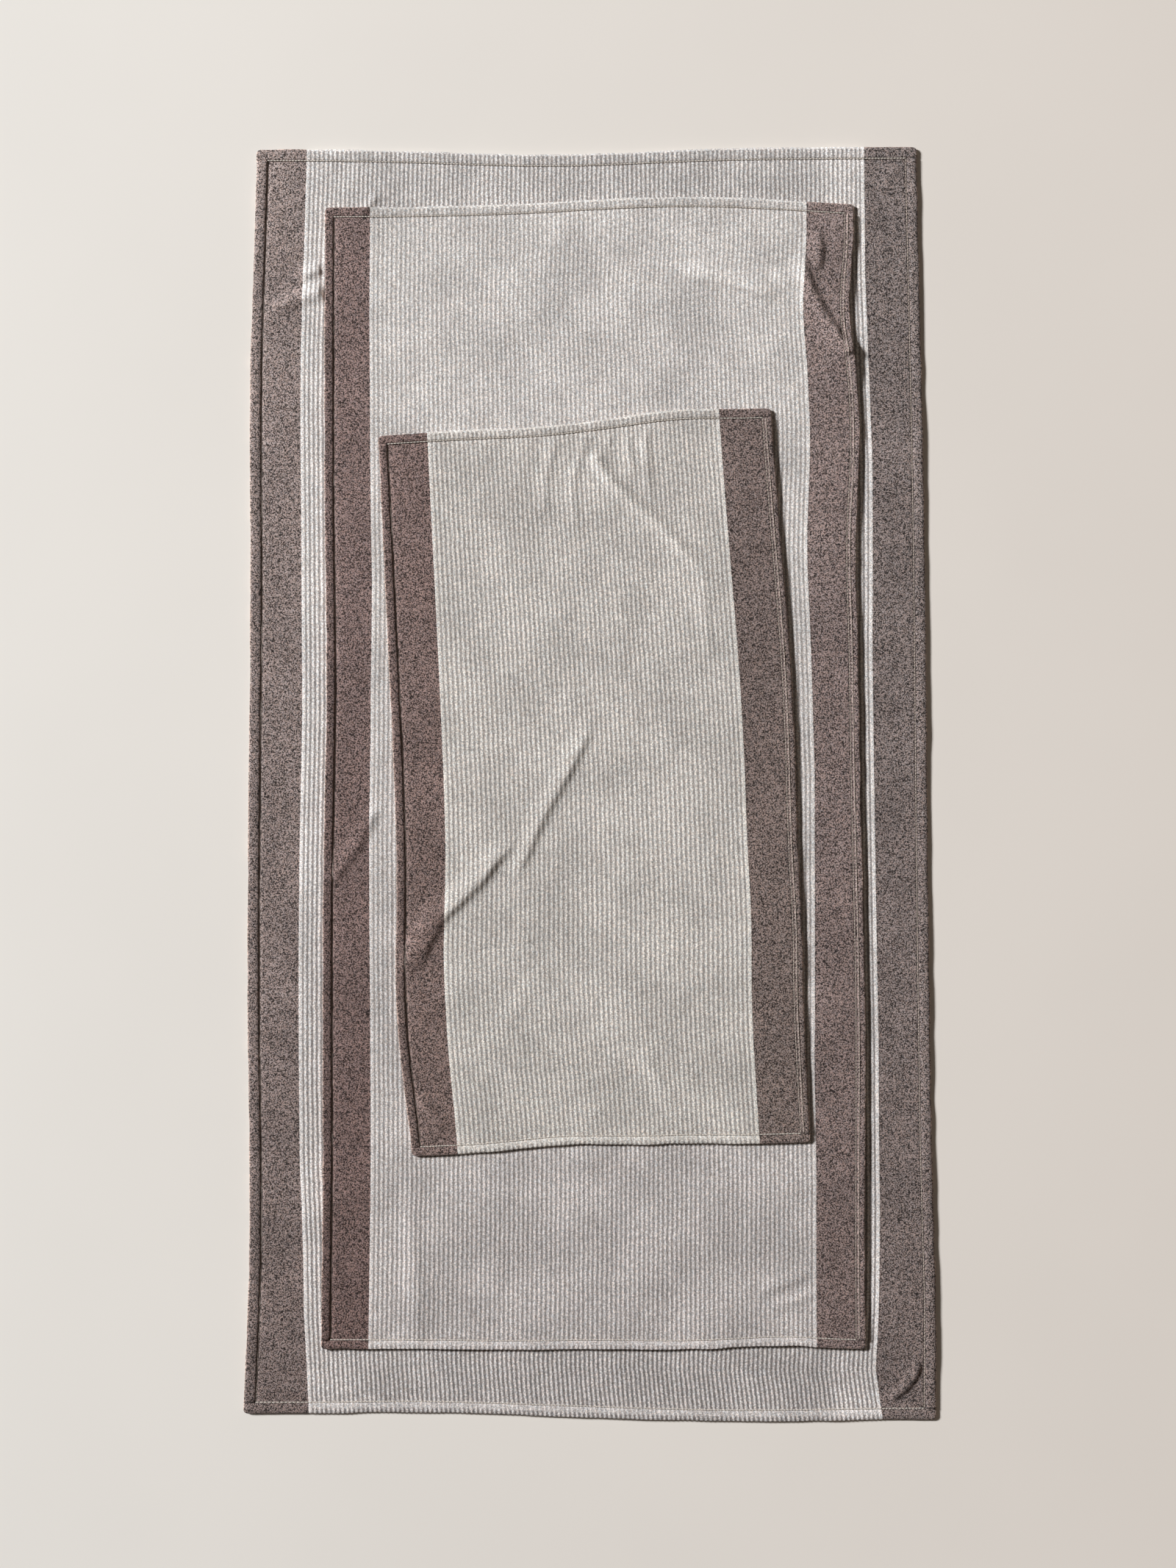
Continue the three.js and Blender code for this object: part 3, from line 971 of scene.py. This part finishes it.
def terry(name, towel, look):
    """Looped pile: taupe in the bands, cream ribs on stone between them."""
    shader = Shader(name)
    here = shader.add("ShaderNodeTexCoord").outputs["Object"]
    flat = shader.add("ShaderNodeUVMap", {"uv_map": "Flat"}).outputs["UV"]
    place = shader.add("ShaderNodeSeparateXYZ", None, Vector=flat)
    ribs, along = place.outputs["X"], place.outputs["Y"]
    to_band = shader.math("MINIMUM", ribs, shader.math("SUBTRACT", towel["field"], ribs))
    in_field = shader.ramp(to_band, -BAND_EDGE, BAND_EDGE)
    loops = shader.add("ShaderNodeTexVoronoi", None, Vector=here, Scale=LOOPS_PER_METRE)
    loop_shade = shader.add("ShaderNodeSeparateColor", None, Color=loops.outputs["Color"])
    tufts = shader.noise(here, TUFTS_PER_METRE, 2.0, 0.6)
    # A stripe's edge is as ragged as its loops.
    ragged = shader.math("MULTIPLY", shader.math("SUBTRACT", loop_shade.outputs[1], 0.5), RAGGED)
    field = field_colour(shader, towel, look, ribs, along, to_band, ragged)
    colour = shader.mix(in_field, band_colour(shader, towel, look, ribs, along), field)
    shade = pile_shade(shader, look, here, loops, loop_shade, tufts, to_band, in_field)
    colour = shader.scaled(colour, shade)
    # Some loops lie warmer and some cooler.
    tint = shader.mix(loop_shade.outputs[2], WARM_LOOP, COOL_LOOP)
    colour = shader.add("ShaderNodeMix", {"data_type": "RGBA", "blend_type": "MULTIPLY"},
                        _0=1.0, _6=colour, _7=tint).outputs[2]
    dome = shader.math("SUBTRACT", 1.0, loops.outputs["Distance"])
    height = shader.math("MULTIPLY_ADD", tufts, 0.25, dome)
    bump = shader.add("ShaderNodeBump", None, Height=height, Distance=0.0004, Strength=0.5)
    shader.give(shader.surface, "Base_Color", colour)
    shader.give(shader.surface, "Normal", bump.outputs["Normal"])
    shader.give(shader.surface, "Roughness", 0.95)
    shader.give(shader.surface, "Diffuse_Roughness", 0.1)
    shader.give(shader.surface, "Specular_IOR_Level", 0.15)
    shader.give(shader.surface, "Sheen_Weight", 0.08)
    shader.give(shader.surface, "Sheen_Roughness", 0.6)
    return shader.material


def thread(name, colour):
    """Twisted polyester sewing thread."""
    shader = Shader(name)
    here = shader.add("ShaderNodeTexCoord").outputs["Object"]
    twist = shader.noise(here, TWISTS_PER_METRE)
    shade = shader.scaled(colour, shader.ramp(twist, 0.3, 0.7, 0.75, 1.2))
    bump = shader.add("ShaderNodeBump", None, Height=twist, Distance=0.0004, Strength=0.8)
    shader.give(shader.surface, "Base_Color", shade)
    shader.give(shader.surface, "Normal", bump.outputs["Normal"])
    shader.give(shader.surface, "Roughness", 0.6)
    shader.give(shader.surface, "Specular_IOR_Level", 0.3)
    shader.give(shader.surface, "Sheen_Weight", 0.1)
    return shader.material


# The shades of each towel's pile at its bottom and top ends, and how much paler the ribs nearest
# the bands are.
LOOKS = {
    "bath_sheet": {
        "left_bottom": (0.171, 0.131, 0.120),
        "left_top": (0.270, 0.216, 0.199),
        "right_bottom": (0.174, 0.136, 0.125),
        "right_top": (0.200, 0.164, 0.153),
        "cream_bottom": (0.625, 0.583, 0.562),
        "cream_top": (0.70, 0.665, 0.642),
        "stone_bottom": (0.225, 0.200, 0.192),
        "stone_top": (0.325, 0.297, 0.284),
        "paler_edge_ribs": 0.17,
    },
    "bath_towel": {
        "left_bottom": (0.139, 0.093, 0.084),
        "left_top": (0.209, 0.150, 0.138),
        "right_bottom": (0.175, 0.129, 0.118),
        "right_top": (0.234, 0.180, 0.167),
        "cream_bottom": (0.635, 0.588, 0.567),
        "cream_top": (0.745, 0.707, 0.678),
        "stone_bottom": (0.30, 0.269, 0.258),
        "stone_top": (0.445, 0.411, 0.391),
        "paler_edge_ribs": 0.0,
    },
    "hand_towel": {
        "left_bottom": (0.176, 0.126, 0.112),
        "left_top": (0.186, 0.130, 0.118),
        "right_bottom": (0.171, 0.131, 0.116),
        "right_top": (0.178, 0.135, 0.123),
        "cream_bottom": (0.675, 0.636, 0.588),
        "cream_top": (0.705, 0.662, 0.620),
        "stone_bottom": (0.345, 0.313, 0.292),
        "stone_top": (0.375, 0.343, 0.321),
        "paler_edge_ribs": 0.0,
    },
}
# The side seams use the same thread as the ends, painted darker as shade.
SHADED_THREAD_COLOUR = (0.50, 0.415, 0.36)
END_THREAD_COLOUR = (0.66, 0.60, 0.53)

# ---- the set ---------------------------------------------------------------------------------

for towel_name, towel in TOWELS.items():
    measure(towel_name, towel)

for towel_name, towel in TOWELS.items():
    pile = terry(f"{towel_name}_pile", towel, LOOKS[towel_name])
    shaded_yarn = thread(f"{towel_name}_shaded_yarn", SHADED_THREAD_COLOUR)
    # The side hems' thread is the end thread painted darker, as shade.
    end_yarn = thread(f"{towel_name}_end_yarn", END_THREAD_COLOUR)
    cloth = build_cloth(towel, pile)
    for side in SIDES:
        is_end = side in ("top", "bottom")
        build_hem(towel, side, pile)
        build_stitches(towel, side, end_yarn if is_end else shaded_yarn)

# ---- floor and light -------------------------------------------------------------------------


FLOOR_HALF = 30.0
# The paper's colour on the left and the right of the set, this far from its middle: the warmer
# right is painted light.
LEFT_PAPER = (0.765, 0.733, 0.686, 1)
RIGHT_PAPER = (0.760, 0.700, 0.640, 1)
PAPER_CHANGE = 0.8


def backdrop_paper():
    """Matt pale paper; its faint clouds and its warming towards the right are painted light."""
    shader = Shader("backdrop_paper")
    here = shader.add("ShaderNodeTexCoord").outputs["Object"]
    # Painted light: faint clouds, and warmer light towards the right.
    cloudy = shader.noise(here, 2.5, 3.0)
    across = shader.add("ShaderNodeSeparateXYZ", None, Vector=here).outputs["X"]
    warmer = shader.ramp(across, -PAPER_CHANGE, PAPER_CHANGE, smooth=False)
    paper = shader.mix(warmer, LEFT_PAPER, RIGHT_PAPER)
    shade = shader.scaled(paper, shader.ramp(cloudy, 0.3, 0.7, 0.99, 1.01))
    shader.give(shader.surface, "Base_Color", shade)
    shader.give(shader.surface, "Roughness", 0.9)
    shader.give(shader.surface, "Specular_IOR_Level", 0.1)
    return shader.material


def make_floor():
    half = FLOOR_HALF
    mesh = bpy.data.meshes.new("floor")
    mesh.from_pydata([(-half, -half, 0), (half, -half, 0), (half, half, 0), (-half, half, 0)],
                     [], [(0, 1, 2, 3)])
    mesh.materials.append(backdrop_paper())
    floor = bpy.data.objects.new("floor", mesh)
    bpy.context.scene.collection.objects.link(floor)


make_floor()

KEY_DISTANCE = 18.0
KEY_SIZE = 3.9
KEY_ELEVATION = math.radians(36)
KEY_TURN = math.radians(24)  # from due left towards the top
KEY_POWER = 4720.0
KEY_COLOUR = (1.0, 1.013, 1.03)
BOUNCE_PLACE = (6.0, -1.5, 4.0)
BOUNCE_SIZE = 6.0
BOUNCE_POWER = 24.0
BOUNCE_COLOUR = (1.0, 0.8, 0.62)
ROOM_LIGHT = 0.075
ROOM_COLOUR = (1.0, 0.88, 0.76, 1)
key_direction = (
    -math.cos(KEY_ELEVATION) * math.cos(KEY_TURN),
    math.cos(KEY_ELEVATION) * math.sin(KEY_TURN),
    math.sin(KEY_ELEVATION),
)


def add_light(name, place, size, power, colour):
    """A round soft light turned towards the middle of the set."""
    data = bpy.data.lights.new(name, "AREA")
    data.shape = "DISK"
    data.size = size
    data.energy = power
    data.color = colour
    light = bpy.data.objects.new(name, data)
    light.location = place
    light.rotation_mode = "QUATERNION"
    light.rotation_quaternion = light.location.to_track_quat("Z", "Y")
    bpy.context.scene.collection.objects.link(light)


add_light("key", [KEY_DISTANCE * part for part in key_direction], KEY_SIZE, KEY_POWER,
          KEY_COLOUR)
add_light("bounce", BOUNCE_PLACE, BOUNCE_SIZE, BOUNCE_POWER, BOUNCE_COLOUR)

world = bpy.data.worlds.new("studio")
world.use_nodes = True
background = world.node_tree.nodes["Background"]
background.inputs["Color"].default_value = ROOM_COLOUR
background.inputs["Strength"].default_value = ROOM_LIGHT
bpy.context.scene.world = world
bpy.context.scene.view_settings.view_transform = "Standard"
